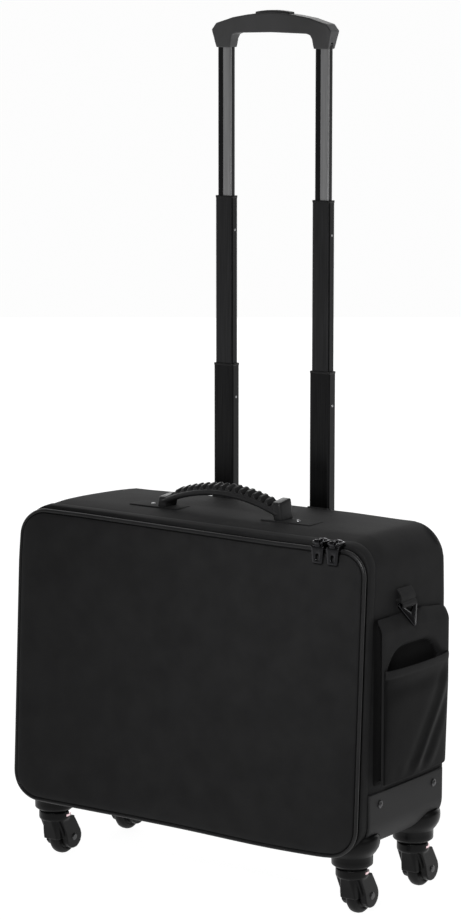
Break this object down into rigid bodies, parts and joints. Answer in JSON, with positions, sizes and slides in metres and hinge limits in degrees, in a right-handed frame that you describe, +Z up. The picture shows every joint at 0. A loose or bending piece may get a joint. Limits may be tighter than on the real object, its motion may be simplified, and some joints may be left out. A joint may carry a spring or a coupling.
{
  "type": "rolling makeup train case",
  "caption": "Soft-sided rolling train case for beauty tools, with a zipped drop-front lid, side pockets, swivel casters and a telescopic trolley handle.",
  "frame": {"origin": "on the floor, under the middle of the bounding box", "axes": "+Z up; +Y from the zipped front lid to the back; +X to the right as seen from the front"},
  "size_m": [0.4932, 0.1992, 0.9578],
  "materials": {
    "nylon": "woven black nylon, faintly glossy, padded",
    "lining": "matte black lining over board",
    "board": "matte stiffening board",
    "rubber": "satin moulded rubber",
    "plastic": "finely textured moulded plastic",
    "wheel": "satin wheel rubber",
    "tube_black": "glossy black coating",
    "tube_grey": "satin dark anodising",
    "steel": "plain plated steel",
    "gunmetal": "polished dark plating"
  },
  "bodies": {
    "root": {"back_panel": "nylon", "base_board": "board", "body_zip": "nylon", "carry_handle": "rubber", "caster_cup_back_left": "plastic", "caster_cup_back_right": "plastic", "caster_cup_front_left": "plastic", "caster_cup_front_right": "plastic", "divider": "lining", "guard_rivet_left_back": "steel", "guard_rivet_left_front": "steel", "guard_rivet_right_back": "steel", "guard_rivet_right_front": "steel", "handle_patch_left": "rubber", "handle_patch_right": "rubber", "handle_rivet_left": "steel", "handle_rivet_right": "steel", "housing_bridge": "plastic", "housing_left": "steel", "housing_right": "steel", "inner_back_board": "lining", "ring_loop_left": "nylon", "ring_loop_right": "nylon", "shell_gusset": "nylon", "side_guard_left": "plastic", "side_guard_right": "plastic", "side_pocket_left": "nylon", "side_pocket_right": "nylon"},
    "lid": {"lid_panel": "nylon", "lid_rim": "nylon"},
    "slider_a": {"slider_a": "gunmetal"},
    "pull_a": {"pull_a": "gunmetal"},
    "slider_b": {"slider_b": "gunmetal"},
    "pull_b": {"pull_b": "gunmetal"},
    "ring_left": {"strap_ring_left": "gunmetal"},
    "fork_front_left": {"fork_front_left": "plastic", "axle_front_left": "steel"},
    "wheel_front_left": {"wheel_front_left": "wheel"},
    "fork_back_left": {"fork_back_left": "plastic", "axle_back_left": "steel"},
    "wheel_back_left": {"wheel_back_left": "wheel"},
    "ring_right": {"strap_ring_right": "gunmetal"},
    "fork_front_right": {"fork_front_right": "plastic", "axle_front_right": "steel"},
    "wheel_front_right": {"wheel_front_right": "wheel"},
    "fork_back_right": {"fork_back_right": "plastic", "axle_back_right": "steel"},
    "wheel_back_right": {"wheel_back_right": "wheel"},
    "stage_lower": {"lower_tube_left": "tube_black", "lower_tube_right": "tube_black"},
    "stage_middle": {"middle_tube_left": "tube_black", "middle_tube_right": "tube_black"},
    "stage_upper": {"upper_tube_left": "tube_grey", "upper_tube_right": "tube_grey", "grip": "plastic"},
    "release": {"button": "plastic", "release_link": "steel"},
    "pin_left": {"lock_pin_left": "steel"},
    "pin_right": {"lock_pin_right": "steel"}
  },
  "joints": [
    {"name": "lid_hinge", "type": "hinge", "parent": "root", "child": "lid", "pos_m": [0, -0.09045, 0.075], "axis": [1, 0, 0], "range_deg": [0, 90]},
    {"name": "zip_slide_a", "type": "slide", "parent": "lid", "child": "slider_a", "axis": [1, 0, 0], "range_m": [-0.34, 0]},
    {"name": "pull_hinge_a", "type": "hinge", "parent": "slider_a", "child": "pull_a", "pos_m": [0.173, -0.0871, 0.4086], "axis": [-1, 0, 0], "range_deg": [0, 150]},
    {"name": "zip_slide_b", "type": "slide", "parent": "lid", "child": "slider_b", "axis": [1, 0, 0], "range_m": [0, 0.005]},
    {"name": "pull_hinge_b", "type": "hinge", "parent": "slider_b", "child": "pull_b", "pos_m": [0.192, -0.0871, 0.4086], "axis": [-1, 0, 0], "range_deg": [0, 150]},
    {"name": "ring_hinge_left", "type": "hinge", "parent": "root", "child": "ring_left", "pos_m": [-0.2335, -0.0044, 0.336], "axis": [0, 1, 0], "range_deg": [0, 120]},
    {"name": "caster_swivel_front_left", "type": "hinge", "parent": "root", "child": "fork_front_left", "pos_m": [-0.202, -0.061, 0.054], "axis": [0, 0, 1], "continuous": true},
    {"name": "wheel_spin_front_left", "type": "hinge", "parent": "fork_front_left", "child": "wheel_front_left", "pos_m": [-0.202, -0.0454, 0.021], "axis": [1, 0, 0], "continuous": true},
    {"name": "caster_swivel_back_left", "type": "hinge", "parent": "root", "child": "fork_back_left", "pos_m": [-0.202, 0.063, 0.054], "axis": [0, 0, 1], "continuous": true},
    {"name": "wheel_spin_back_left", "type": "hinge", "parent": "fork_back_left", "child": "wheel_back_left", "pos_m": [-0.202, 0.0786, 0.021], "axis": [1, 0, 0], "continuous": true},
    {"name": "ring_hinge_right", "type": "hinge", "parent": "root", "child": "ring_right", "pos_m": [0.2335, -0.0044, 0.336], "axis": [0, -1, 0], "range_deg": [0, 120]},
    {"name": "caster_swivel_front_right", "type": "hinge", "parent": "root", "child": "fork_front_right", "pos_m": [0.202, -0.061, 0.054], "axis": [0, 0, 1], "continuous": true},
    {"name": "wheel_spin_front_right", "type": "hinge", "parent": "fork_front_right", "child": "wheel_front_right", "pos_m": [0.202, -0.0454, 0.021], "axis": [1, 0, 0], "continuous": true},
    {"name": "caster_swivel_back_right", "type": "hinge", "parent": "root", "child": "fork_back_right", "pos_m": [0.202, 0.063, 0.054], "axis": [0, 0, 1], "continuous": true},
    {"name": "wheel_spin_back_right", "type": "hinge", "parent": "fork_back_right", "child": "wheel_back_right", "pos_m": [0.202, 0.0786, 0.021], "axis": [1, 0, 0], "continuous": true},
    {"name": "handle_lower_slide", "type": "slide", "parent": "root", "child": "stage_lower", "axis": [0, 0, 1], "range_m": [-0.151, 0]},
    {"name": "handle_middle_slide", "type": "slide", "parent": "stage_lower", "child": "stage_middle", "axis": [0, 0, 1], "range_m": [-0.1865, 0]},
    {"name": "handle_upper_slide", "type": "slide", "parent": "stage_middle", "child": "stage_upper", "axis": [0, 0, 1], "range_m": [-0.1646, 0]},
    {"name": "button_press", "type": "slide", "parent": "stage_upper", "child": "release", "axis": [0, 0, -1], "range_m": [0, 0.003], "stiffness_N_per_m": 600, "springref_m": -0.003},
    {"name": "pin_retract_left", "type": "slide", "parent": "stage_upper", "child": "pin_left", "axis": [-1, 0, 0], "range_m": [0, 0.0012]},
    {"name": "pin_retract_right", "type": "slide", "parent": "stage_upper", "child": "pin_right", "axis": [-1, 0, 0], "range_m": [0, 0.0012]}
  ],
  "couplings": [
    {"joint": "pin_retract_left", "follows": "button_press", "ratio": 0.4},
    {"joint": "pin_retract_right", "follows": "button_press", "ratio": 0.4}
  ]
}
